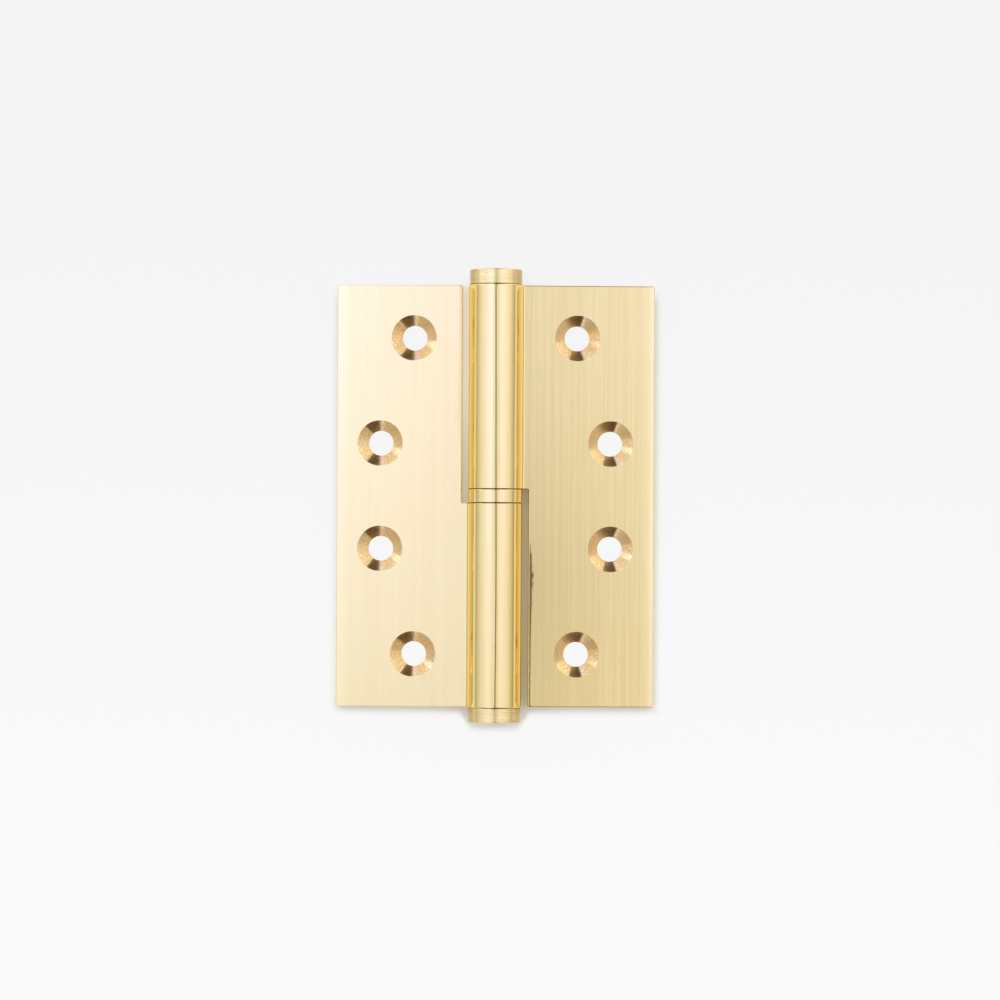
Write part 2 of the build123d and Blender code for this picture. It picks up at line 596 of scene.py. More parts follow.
    def roll_over(self, skin: Skin) -> None:
        """Lowers the face by its drop and leans its normals with the new slope.

        Args:
            skin: the surface.
        """
        step, slack = 0.01, 1e-6
        for points, normals in zip(skin.points, skin.normals):
            above = points[:, 2] > self.face - self.edge - slack
            on_face = above & (points[:, 0] > self.notch - slack)
            x, y = points[on_face, 0], points[on_face, 1]
            slope_x = (self.drop(x + step, y) - self.drop(x - step, y)) / 2 / step
            slope_y = (self.drop(x, y + step) - self.drop(x, y - step)) / 2 / step
            up = normals[on_face, 2]
            leaning = normals[on_face] + np.stack([up * slope_x, up * slope_y, 0 * up], 1)
            normals[on_face] = leaning / np.linalg.norm(leaning, axis=1, keepdims=True)
            points[on_face, 2] -= self.drop(x, y)

    def add_cells(self, skin: Skin, inset: dict[str, np.ndarray], inner: float,
                  inner_2: np.ndarray, inner_3: np.ndarray, level: float, up: float) -> None:
        """Adds the plate's face or back: a ring of quads from each screw hole to its cell's edge.

        A point lies a share of the way along the straight line from the hole's rim to the
        point of the cell's edge in the same direction, and the shares crowd towards the edge.

        Args:
            skin: the surface.
            inset: the plate's outline, set in by the broken edge.
            inner: x of the cells' inner edge.
            inner_2: y samples of that edge in the third cell, above the ledge.
            inner_3: y samples of that edge in the fourth cell.
            level: z of the face or back.
            up: 1 for the face, -1 for the back.
        """
        outer = self.reach - self.edge
        across = spaced(inner, outer, STEP)

        def level_line(y: float) -> np.ndarray:
            """Points across the plate at one place along the pin."""
            return np.stack([across, np.full_like(across, y)], 1)

        def upright(ys: np.ndarray) -> np.ndarray:
            """Points on the cells' inner edge."""
            return np.stack([np.full_like(ys, inner), ys], 1)

        pitch = self.pitch
        loops = [
            joined(level_line(-pitch), inset["side_0"], inset["low_corner"], inset["low"],
                   inset["notch_tip"], inset["notch_0"]),
            joined(level_line(0), inset["side_1"], level_line(-pitch)[::-1], inset["notch_1"]),
            joined(level_line(pitch), inset["side_2"], level_line(0)[::-1], inset["notch_2"],
                   upright(inner_2)),
            joined(inset["top"], inset["top_corner"], inset["side_3"], level_line(pitch)[::-1],
                   upright(inner_3)),
        ]
        holes = [
            (self.end_hole, -1.5), (self.middle_hole, -0.5),
            (self.middle_hole, 0.5), (self.end_hole, 1.5),
        ]
        steps, crowding = (18 if up > 0 else 5), 1.7
        radius = (self.sink if up > 0 else self.hole) + self.rim
        for loop, (x, place) in zip(loops, holes):
            centre = np.array([x, place * pitch])
            around = loop - centre
            angles = np.unwrap(np.arctan2(around[:, 1], around[:, 0]))
            angles[-1] = angles[0] + np.sign(angles[-2] - angles[0]) * 2 * math.pi
            rim = centre + radius * np.stack([np.cos(angles), np.sin(angles)], 1)
            shares = 1 - (1 - np.linspace(0, 1, steps)[:, None, None]) ** crowding
            flat = rim[None] * (1 - shares) + loop[None] * shares
            points = np.dstack([flat, np.full(flat.shape[:2], level)])
            normals = np.zeros_like(points)
            normals[..., 2] = up
            skin.add(points, normals, flat, LeafZone.DRAWN)
            if up > 0:
                self.add_hole(skin, centre, angles)

    def add_hole(self, skin: Skin, centre: np.ndarray, angles: np.ndarray) -> None:
        """Adds the wall of one countersunk hole, with the cutter's rings in the cone.

        Each ring is a small cosine wave square to the cone, of one pitch a ring. Finer steps,
        whose treads lie flatter than the cone, show only in how the wall catches the light, so
        its normals lean up by their angle.

        Args:
            skin: the surface.
            centre: the hole's place in x and y.
            angles: the turns at which its rim has points.
        """
        depth = self.sink - self.hole
        ring_pitch, ring_depth = 0.22, 0.0008
        slant = depth * math.sqrt(2)
        rings = round(slant / ring_pitch)
        share = np.linspace(0, 1, rings * 4 + 1)
        wave = ring_depth * (np.cos(share * rings * 2 * math.pi) - 1) / math.sqrt(2)
        lip = self.face - self.rim / 2
        stretches = [
            ([self.sink + self.rim, self.sink], [self.face, lip], 0.0),
            (self.sink - depth * share - wave, lip - (depth - self.rim / 2) * share + wave,
             math.radians(self.tread)),
            ([self.hole, self.hole], [self.face - depth, self.back + self.rim], 0.0),
            ([self.hole, self.hole + self.rim], [self.back + self.rim, self.back], 0.0),
        ]
        for radii, heights, lean in stretches:
            revolved(skin, np.array(radii), np.array(heights), angles, LeafZone.MACHINED,
                     centre=tuple(centre), axis=2, lean=lean)

    def add_neck(self, skin: Skin, inset: dict[str, np.ndarray], rows: np.ndarray,
                 knuckle_y: np.ndarray, face_x: float, inner: float, level: float,
                 up: float) -> None:
        """Adds the strip of face or back beside the knuckle, blended from its four edges.

        Args:
            skin: the surface.
            inset: the plate's outline, set in by the broken edge.
            rows: y samples where the strip meets the cells.
            knuckle_y: y samples where it meets the knuckle.
            face_x: x of its inner edge.
            inner: x of its outer edge.
            level: z of the face or back.
            up: 1 for the face, -1 for the back.
        """
        top = inset["top_inner"]
        low = joined(inset["hollow"], inset["ledge"])[::-1]
        left = np.stack([np.full_like(knuckle_y, face_x), knuckle_y], 1)
        right = np.stack([np.full_like(rows, inner), rows], 1)
        u = np.linspace(0, 1, len(top))[None, :, None]
        v = ((rows - rows[0]) / (rows[-1] - rows[0]))[:, None, None]
        flat = (1 - v) * low[None] + v * top[None] + (1 - u) * left[:, None] + u * right[:, None]
        flat -= ((1 - u) * (1 - v) * low[0] + u * (1 - v) * low[-1]
                 + (1 - u) * v * top[0] + u * v * top[-1])
        points = np.dstack([flat, np.full(flat.shape[:2], level)])
        normals = np.zeros_like(points)
        normals[..., 2] = up
        skin.add(points, normals, flat, LeafZone.DRAWN)

    def add_rim(self, skin: Skin, outline: dict[str, tuple[np.ndarray, np.ndarray]],
                wall: np.ndarray) -> None:
        """Adds the plate's edge: a quarter round, the flat wall and a second quarter round.

        Args:
            skin: the surface.
            outline: the plate's outline, in stretches.
            wall: z samples of the flat wall, from the face side down.
        """
        path = joined(*[points for points, _ in outline.values()])
        out = joined(*[directions for _, directions in outline.values()])
        turn = np.radians(np.linspace(90, 0, ARC_STEPS + 1))
        round_in = self.edge * (1 - np.cos(turn))
        inward = joined(round_in, np.zeros(len(wall)), round_in[::-1])
        heights = joined(self.face - self.edge + self.edge * np.sin(turn), wall,
                         self.back + self.edge - self.edge * np.sin(turn[::-1]))
        leaning = joined(np.cos(turn), np.ones(len(wall)), np.cos(turn[::-1]))
        upward = joined(np.sin(turn), np.zeros(len(wall)), -np.sin(turn[::-1]))
        flat = path[None] - out[None] * inward[:, None, None]
        points = np.dstack([flat, np.broadcast_to(heights[:, None], flat.shape[:2])])
        normals = np.dstack([
            out[None] * leaning[:, None, None],
            np.broadcast_to(upward[:, None], flat.shape[:2]),
        ])
        length = np.concatenate([[0], np.cumsum(np.linalg.norm(np.diff(path, axis=0), axis=1))])
        unrolled = np.stack(np.broadcast_arrays(heights[:, None], length[None, :]), -1)
        skin.add(points, normals, unrolled, LeafZone.DRAWN)

    def add_knuckle(self, skin: Skin, contour: np.ndarray, out: np.ndarray, along: np.ndarray,
                    wall: np.ndarray, face_x: float) -> None:
        """Adds the knuckle: its section carried along the pin, both rounded ends and the bore.

        Args:
            skin: the surface.
            contour: the section in x and z.
            out: its outward directions.
            along: y samples.
            wall: z samples where the end joins the plate's edge.
            face_x: x where it does.
        """
        low, high = self.sizes.knuckle_end, self.sizes.height / 2
        run = np.concatenate([[0], np.cumsum(np.linalg.norm(np.diff(contour, axis=0), axis=1))])

        def carried(section: np.ndarray, normals: np.ndarray, ys: np.ndarray, lean: np.ndarray,
                    polish: float = 0.75) -> None:
            """Adds the section at each place along the pin.

            Args:
                section: x and z at each row and column.
                normals: their outward directions.
                ys: places along the pin, one a row.
                lean: how far each row's normals lean along the pin, -1 to 1.
                polish: the lean from which on a row is sawn and not polished.
            """
            xs, zs = section[..., 0], section[..., 1]
            ys = np.broadcast_to(ys[:, None], (len(ys), len(contour)))
            xs, zs = np.broadcast_to(xs, ys.shape), np.broadcast_to(zs, ys.shape)
            square = np.sqrt(1 - lean**2)[:, None, None] * normals
            points = np.stack([xs, ys, zs], -1)
            tips = np.broadcast_to(lean[:, None], ys.shape)
            turned = np.stack([square[..., 0], tips, square[..., 1]], -1)
            flat = np.stack([np.broadcast_to(face_x - run, ys.shape), ys], -1)
            shiny = np.abs(lean) < polish
            last = int(shiny.sum()) if not shiny.all() else len(ys)
            skin.add(points[:last], turned[:last], flat[:last], LeafZone.POLISHED)
            if last < len(ys):
                skin.add(points[last - 1 :], turned[last - 1 :], flat[last - 1 :], LeafZone.SAWN)

        carried(contour[None], out[None], along, np.zeros(len(along)))
        turn = np.radians(np.linspace(0, 90, ARC_STEPS + 1))
        polish = {-1.0: 0.45, 1.0: 0.75}
        set_in = contour[None] - out[None] * (self.edge * (1 - np.cos(turn)))[:, None, None]
        for end, side in ((low, -1.0), (high, 1.0)):
            ys = end - side * self.edge * (1 - np.sin(turn))
            carried(set_in, out[None], ys, side * np.sin(turn), polish[side])

        upright = np.stack([np.full(len(wall), face_x), wall[::-1]], 1)
        loop = joined(set_in[-1], upright)
        angles = np.unwrap(np.arctan2(loop[:, 1], loop[:, 0]))
        seam = 0.6
        angles[0] = seam * (angles[-2] - 2 * math.pi) + (1 - seam) * angles[1]
        angles[-1] = angles[0] + 2 * math.pi
        ring = np.stack([np.cos(angles), np.sin(angles)], 1)
        wide = self.bore + self.lead_in
        for end, side, radius in ((low, -1.0, wide), (high, 1.0, self.bore)):
            shares = np.linspace(0, 1, 4)[:, None, None]
            flat = radius * ring[None] * (1 - shares) + loop[None] * shares
            points = np.stack([flat[..., 0], np.full(flat.shape[:2], end), flat[..., 1]], -1)
            normals = np.zeros_like(points)
            normals[..., 1] = side
            skin.add(points, normals, flat, LeafZone.SAWN)
        mouth = low + self.lead_in
        for radii, heights in (
            (np.array([wide, self.bore]), np.array([low, mouth])),
            (np.full(12, self.bore), np.linspace(mouth, high, 12)),
        ):
            revolved(skin, radii, heights, angles, LeafZone.MACHINED, out=-1.0)

    def flank_reflection_and_facet(self, points: np.ndarray) -> np.ndarray:
        """Where a deeper gold is painted on the knuckle's flanks, as a reflection of the brass
        beside them.

        It grows with the distance from the pin's axis, and fades out into the plate's face. On
        the plate it marks the honed facet instead.

        Args:
            points: places in the leaf's own frame.

        Returns:
            The share at each place, 0 to 1.
        """
        share = np.abs(points[:, 0]) / self.sizes.knuckle
        return eased(share, 0.6, 0.84) * eased(share, 1.03, 0.94) + self.honed(points)

    def dress(self, materials: list[bpy.types.Material]) -> bpy.types.Object:
        """Makes the piece, gives it its finishes and lets it stand for its node.

        Args:
            materials: one for each zone.

        Returns:
            The finished piece.
        """
        placement = Placement(self.tilt(), self.half_turn, self.sizes.knuckle)
        skin = self.build()
        skin.maps = [flat + np.array([0, self.bar]) for flat in skin.maps]
        flank_reflection_and_facet = self.flank_reflection_and_facet(np.concatenate(skin.points))
        piece = skin.build(self.name + "_brass", placement, materials, flank_reflection_and_facet)
        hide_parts(self.name)
        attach(piece, self.body)
        return piece


@dataclass
class TurnedPiece:
    """A piece turned about the pin's axis.

    A stretch of its profile without a zone belongs to its side.

    Attributes:
        name: name of the node that it stands for.
        body: the body that it moves with.
        slot: the record's material slot.
        sizes: the sizes shared with the other pieces.
        half_turn: whether it points to -Y.
    """

    name: str
    body: str
    slot: str
    sizes: Sizes
    half_turn: bool = False

    def profile(self) -> list[tuple]:
        """Stretches of the profile as radii, heights along Y, which side is outside, and a zone."""
        raise NotImplementedError

    def flank_reflection_and_facet(self, points: np.ndarray) -> np.ndarray:
        """Where a deeper gold is painted, only on the flanks of the round side, as a reflection of
        the brass beside them.

        Args:
            points: places in the piece's own frame.

        Returns:
            The share at each place, 0 to 1.
        """
        across = np.abs(points[:, 0])
        out = np.hypot(points[:, 0], points[:, 2])
        radius = out.max()
        return eased(across, 0.6 * radius, 0.9 * radius) * (out > 0.95 * radius)

    def dress(self, materials: list[bpy.types.Material]) -> bpy.types.Object:
        """Turns the profile, gives it its finish and lets it stand for its node.

        Args:
            materials: one for each zone.

        Returns:
            The finished piece.
        """
        skin = Skin()
        angles = np.radians(np.linspace(0, 360, TURN_STEPS + 1))
        angles[-1] = 2 * math.pi
        for radii, heights, out, *zone in self.profile():
            revolved(skin, radii, heights, angles, *(zone or [TurnedZone.SIDE]), out)
        placement = Placement(0.0, self.half_turn, self.sizes.knuckle)
        flank_reflection_and_facet = self.flank_reflection_and_facet(np.concatenate(skin.points))
        piece = skin.build(self.name + "_" + self.slot.split("_")[-1], placement, materials, flank_reflection_and_facet)
        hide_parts(self.name)
        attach(piece, self.body)
        return piece


def quarter(
    radius: float, height: float, size: float, out_side: float, up_side: float
) -> tuple[np.ndarray, np.ndarray]:
    """Quarter round of a turned edge, from its end face to its side.

    Args:
        radius: radius of the side.
        height: level of the end face.
        size: radius of the rounding.
        out_side: 1 if the side faces away from the axis, -1 in a bore.
        up_side: 1 if the end face looks up, -1 if down.

    Returns:
        Radii and heights.
    """
    turn = np.radians(np.linspace(0, 90, ARC_STEPS + 1))
    radii = radius - out_side * size * (1 - np.sin(turn))
    return radii, height - up_side * size * (1 - np.cos(turn))


@dataclass
class Washer(TurnedPiece):
    """Polished ring between the knuckles, with all four edges broken.

    Attributes:
        edge: radius of the broken edges.
    """

    edge: float = 0.15

    def profile(self) -> list[tuple]:
        """Top face, outer side, bottom face and bore, each edge a quarter round.

        Returns:
            For each stretch its radii, heights, outside and zone.
        """
        outer, inner = self.sizes.knuckle, self.sizes.pin + self.sizes.running_fit
        half, edge = self.sizes.knuckle_end - self.sizes.end_play, self.edge
        split = 4  # step of an outer rounded edge at which the end face's finish stops
        stretches = []
        for side in (1.0, -1.0):
            faces = np.linspace(inner + edge, outer - edge, 4)
            stretches.append((faces, np.full(4, side * half), -side, TurnedZone.END))
            radii, heights = quarter(outer, side * half, edge, 1.0, side)
            stretches.append((radii[: split + 1], heights[: split + 1], -side, TurnedZone.END))
            stretches.append((radii[split:], heights[split:], -side))
            radii, heights = quarter(inner, side * half, edge, -1.0, side)
            stretches.append((radii, heights, side, TurnedZone.END))
        sides = np.linspace(edge - half, half - edge, 8)
        stretches.append((np.full(8, outer), sides, 1.0))
        stretches.append((np.full(8, inner), sides, -1.0))
        return stretches


@dataclass
class Cap(TurnedPiece):
    """Turned cap: a plug in the knuckle's bore under a crowned head.

    Attributes:
        bore: radius of the bore that the plug is pressed into.
        radius: radius of the head.
        rim: height of the head's side.
        crown: rise of its crown.
        edge: radius of the broken edges.
        plug: length of the plug.
        plug_edge: chamfer of the plug's end.
    """

    bore: float = 3.5
    radius: float = 6.3
    rim: float = 3.55
    crown: float = 0.45
    edge: float = 0.2
    plug: float = 8.0
    plug_edge: float = 0.5

    def profile(self) -> list[tuple]:
        """Crown, rounded rim, side, rounded lower edge, underside, plug, chamfer and plug end.

        Returns:
            For each stretch its radii, heights and outside.
        """
        base = self.sizes.height / 2
        neck, end = base - self.plug + self.plug_edge, base - self.plug
        dome = (self.radius**2 + self.crown**2) / 2 / self.crown
        shoulder = self.radius - self.edge
        crown_r = np.linspace(0, shoulder, 40)
        top = base + self.rim + self.crown
        crown_y = top - dome + np.sqrt(dome**2 - crown_r**2)
        turn = np.radians(np.linspace(math.degrees(math.asin(shoulder / dome)), 90, ARC_STEPS + 1))
        drop = crown_y[-1]
        edge_r = shoulder + self.edge * (np.sin(turn) - np.sin(turn[0])) / (1 - np.sin(turn[0]))
        edge_y = drop - self.edge * (np.cos(turn[0]) - np.cos(turn)) / np.cos(turn[0])
        side = np.linspace(edge_y[-1], base + self.edge, 24)
        low_r, low_y = quarter(self.radius, base, self.edge, 1.0, -1.0)
        return [
            (crown_r, crown_y, -1.0),
            (edge_r, edge_y, -1.0),
            (np.full(24, self.radius), side, -1.0),
            (low_r, low_y, 1.0),
            (np.array([shoulder, self.bore]), np.array([base, base]), -1.0),
            (np.full(10, self.bore), np.linspace(base, neck, 10), -1.0),
            (np.array([self.bore, self.bore - self.plug_edge]), np.array([neck, end]), -1.0),
            (np.linspace(self.bore - self.plug_edge, 0, 4), np.full(4, end), -1.0),
        ]


@dataclass
class Pin(TurnedPiece):
    """Ground steel pin with a rounded tip and a chamfered foot.

    Attributes:
        tip_round: radius of the tip's edge.
        foot_edge: chamfer of the foot.
    """

    tip_round: float = 1.2
    foot_edge: float = 0.4

    def profile(self) -> list[tuple]:
        """Tip, its rounding, the long side, the chamfer and the foot.

        Returns:
            For each stretch its radii, heights and outside.
        """
        low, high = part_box(self.name)
        foot, tip, radius = low.y / MM, high.y / MM, self.sizes.pin
        above, inside = foot + self.foot_edge, radius - self.foot_edge
        round_r, round_y = quarter(radius, tip, self.tip_round, 1.0, 1.0)
        return [
            (np.linspace(0, radius - self.tip_round, 6), np.full(6, tip), -1.0),
            (round_r, round_y, -1.0),
            (np.full(60, radius), np.linspace(tip - self.tip_round, above, 60), -1.0),
            (np.array([radius, inside]), np.array([above, foot]), -1.0),
            (np.linspace(inside, 0, 4), np.full(4, foot), -1.0),
        ]


# Finishes


@dataclass(frozen=True)
class Metal:
    """A metal whose fine lines follow the way it was drawn, turned or ground.

    The lines are noise on the unrolled surface, stretched along the tool's path. They vary the
    colour and the roughness a little and raise the surface by a fraction of their depth, and
    the reflection is spread across them.

    Attributes:
        name: name of the material.
        colour: colour where the lines are bright.
        shade: colour where they are dark.
        roughness: roughness of the smoothest lines.
        rougher: how much rougher the others are.
        spread: how far the reflection is drawn out across the lines, 0 to 1.
        around: whether the lines run round the piece instead of along it.
        line: width of a fine line in millimetres.
        line_length: its length in millimetres.
        band: width of the broad bands that the lines gather in, in millimetres.
        line_depth: depth of the fine lines in millimetres.
        wave: length of the surface's slow waves in millimetres, 0 for none.
        wave_depth: depth of those waves in millimetres.
        pit: distance between small pits in millimetres, 0 for none.
        pit_colour: colour in the pits.
        flank_reflection_and_facet: colour of the deeper gold painted on the flanks as a reflection,
            none if the finish has no such places.
        honed: roughness of the honed facet, 0 if the finish has none.
    """

    name: str
    colour: str
    shade: str
    roughness: float
    rougher: float
    spread: float
    around: bool = False
    line: float = 0.16
    line_length: float = 30.0
    band: float = 1.4
    line_depth: float = 0.0006
    wave: float = 0.0
    wave_depth: float = 0.0
    pit: float = 0.0
    pit_colour: str = "#8A6A34"
    flank_reflection_and_facet: str = ""
    honed: float = 0.0

    def build(self) -> bpy.types.Material:
        """Makes the material.

        Returns:
            The material, reading the piece's unrolled map in millimetres.
        """
        material = bpy.data.materials.new(self.name)
        material.use_nodes = True
        tree = material.node_tree
        shader = tree.nodes["Principled BSDF"]
        unrolled = add_node(tree, "ShaderNodeUVMap", uv_map="unrolled").outputs["UV"]

        layers = [(self.line, self.line_length, 2.0), (self.band, self.line_length * 4, 3.0)]
        if self.wave:
            layers.append((self.wave * 0.5, self.wave, 1.0))
        noises = []
        for width, length, detail in layers:
            scale = (1 / length, 1 / width, 1) if self.around else (1 / width, 1 / length, 1)
            place = add_node(tree, "ShaderNodeMapping", {"Vector": unrolled, "Scale": scale})
            noises.append(add_node(tree, "ShaderNodeTexNoise", {
                "Vector": place.outputs[0], "Scale": 1.0, "Detail": detail,
                "Roughness": 0.6}, noise_dimensions="2D").outputs["Fac"])
        fine, broad = noises[:2]
        both = add_node(tree, "ShaderNodeMix", {0: 0.5, 2: fine, 3: broad}).outputs[0]
        contrast = {"Value": both, "From Min": 0.36, "From Max": 0.64}
        tone = add_node(tree, "ShaderNodeMapRange", contrast).outputs[0]
        colour = add_node(tree, "ShaderNodeMix", {
            0: tone, 6: linear(self.colour), 7: linear(self.shade)}, data_type="RGBA").outputs[2]
        rough = add_node(tree, "ShaderNodeMapRange", {
            **contrast, "To Min": self.roughness,
            "To Max": self.roughness + self.rougher}).outputs[0]
        lines = add_node(tree, "ShaderNodeBump", {
            "Height": fine, "Strength": 1.0, "Distance": self.line_depth * MM}).outputs[0]
        if self.wave:
            lines = add_node(tree, "ShaderNodeBump", {
                "Height": noises[2], "Strength": 1.0, "Distance": self.wave_depth * MM,
                "Normal": lines}).outputs[0]
        amount = add_node(tree, "ShaderNodeAttribute", attribute_name="flank_reflection_and_facet").outputs["Fac"]
        # Painted reflection: a deeper gold mixed in where the flanks are marked.
        if self.flank_reflection_and_facet:
            colour = add_node(tree, "ShaderNodeMix", {
                0: amount, 6: colour, 7: linear(self.flank_reflection_and_facet)}, data_type="RGBA").outputs[2]
        if self.honed:
            rough = add_node(tree, "ShaderNodeMix", {
                0: amount, 2: rough, 3: self.honed}).outputs[0]
        if self.pit:
            spot = add_node(tree, "ShaderNodeTexVoronoi", {
                "Vector": unrolled, "Scale": 1 / self.pit, "Randomness": 1.0},
                voronoi_dimensions="2D")
            keep = add_node(tree, "ShaderNodeSeparateColor", {0: spot.outputs["Color"]})
            size = add_node(tree, "ShaderNodeMapRange", {
                "Value": keep.outputs[0], "From Min": 0.78, "From Max": 1.0,
                "To Max": 0.1}).outputs[0]
            inside = add_node(tree, "ShaderNodeMath", {
                0: spot.outputs["Distance"], 1: size}, operation="LESS_THAN").outputs[0]
            colour = add_node(tree, "ShaderNodeMix", {
                0: inside, 6: colour, 7: linear(self.pit_colour)}, data_type="RGBA").outputs[2]
        tangent = add_node(tree, "ShaderNodeTangent", direction_type="UV_MAP", uv_map="unrolled")
        tree.links.new(colour, shader.inputs["Base Color"])
        tree.links.new(rough, shader.inputs["Roughness"])
        tree.links.new(lines, shader.inputs["Normal"])
        tree.links.new(tangent.outputs[0], shader.inputs["Tangent"])
        shader.inputs["Metallic"].default_value = 1.0
        shader.inputs["Anisotropic"].default_value = self.spread
        shader.inputs["Anisotropic Rotation"].default_value = 0.25 if self.around else 0.0
        return material


# Drawn through a die, then brushed along the pin: a pale satin sheen with fine upright lines,
# and a smoother facet, honed by hand, that mirrors the dim part of the room as a dark line.
DRAWN_BRASS = Metal(
    "brass_drawn_satin", "#F7E8B8", "#F0DEA8", 0.16, 0.035, 0.6,
    line=0.16, band=1.1, line_depth=0.0005, honed=0.06,
)
# The same bar, brushed with a finer belt: the lines are there but hardly show.
FINE_BRASS = Metal(
    "brass_drawn_fine", "#F6E7B7", "#F4E4B3", 0.16, 0.03, 0.6,
    line=0.16, band=1.6, line_depth=0.0003,
)
# Buffed after drawing: sharp mirror bands, with faint lines and slow waves along the pin, and
# a deeper gold painted down the flanks as a reflection of the brass beside them.
POLISHED_BRASS = Metal(
    "brass_polished", "#F5E4AE", "#F1DCA2", 0.07, 0.03, 0.2, flank_reflection_and_facet="#F7D983",
    line=0.25, line_length=20.0, line_depth=0.00015, wave=14.0, wave_depth=0.02,
)
# Left by the countersink's cutter: rings that spread the light into a bow tie, with a speckle
# of chatter, drawn two or three times as coarse as it is so that it shows.
CUT_BRASS = Metal(
    "brass_countersunk", "#FFF1CE", "#DCAF62", 0.18, 0.06, 0.96, around=True,
    line=0.22, line_length=0.2, band=0.3, line_depth=0.003,
)
# Sawn and left: a darker grain on the ends that meet at each joint.
SAWN_BRASS = Metal("brass_sawn", "#C9A868", "#9C7A40", 0.38, 0.1, 0.3, line_depth=0.001)
# Turned on a lathe and left matt: rings round the cap, with a few small pits, and a darker gold
# painted on its flanks as a reflection of the brass beside them.
TURNED_BRASS = Metal(
    "brass_turned", "#F8E9B6", "#E8D192", 0.24, 0.08, 0.35, around=True,
    line=0.14, line_length=12.0, band=0.8, line_depth=0.0008, pit=1.1, flank_reflection_and_facet="#CFB074",
)
# Centreless ground: a cool grey sheen with very fine rings.
GROUND_STEEL = Metal(
    "steel_ground", "#CFD0D2", "#B9BABD", 0.2, 0.06, 0.5, around=True,
    line=0.1, line_length=10.0, line_depth=0.0004,
)


# Studio


def painted_grid(
    name: str, points: np.ndarray, colours: np.ndarray, layer: str
) -> bpy.types.Object:
    """Makes a grid surface that carries a colour at each point.

    Args:
        name: name of the object.
        points: rows x columns x 3 places in metres.
        colours: rows x columns x 4 values.
        layer: name of the colour attribute.

    Returns:
        The object, marked as stage.
    """
    rows, columns = points.shape[:2]
    index = np.arange(rows * columns).reshape(rows, columns)
    quads = np.stack([index[:-1, :-1], index[:-1, 1:], index[1:, 1:], index[1:, :-1]], -1)
    mesh = bpy.data.meshes.new(name)
    mesh.from_pydata(points.reshape(-1, 3), [], quads.reshape(-1, 4).tolist())
    paint = mesh.attributes.new(layer, "FLOAT_COLOR", "POINT")
    paint.data.foreach_set("color", colours.astype(np.float32).reshape(-1))
    made = bpy.data.objects.new(name, mesh)
    bpy.context.scene.collection.objects.link(made)
    return made


@dataclass(frozen=True)
class Lamp:
    """A bright patch on the light tent.

    Attributes:
        colour: its light in red, green and blue, where 1 shows white.
        foot: heights in metres between which its lower part brightens to the full.
        fades: axis, and the places in metres where it is out and where it is full.
        low: share of its light at the foot.
    """

    colour: tuple[float, float, float]
    foot: tuple[float, float]
    fades: tuple[tuple[int, float, float], ...]
    low: float = 0.4

    def over(self, level: np.ndarray, points: np.ndarray) -> np.ndarray:
        """Lays the lamp over the light that is there.

        Args:
            level: the light at each place, rows x columns x 3.
            points: the places, in the same shape.

        Returns:
            The light with the lamp.
        """
        share = self.low + (1 - self.low) * eased(points[..., 2], *self.foot)
        for axis, out, full in self.fades:
            share = share * eased(points[..., axis], out, full)
        return level * (1 - share[..., None]) + np.array(self.colour) * share[..., None]


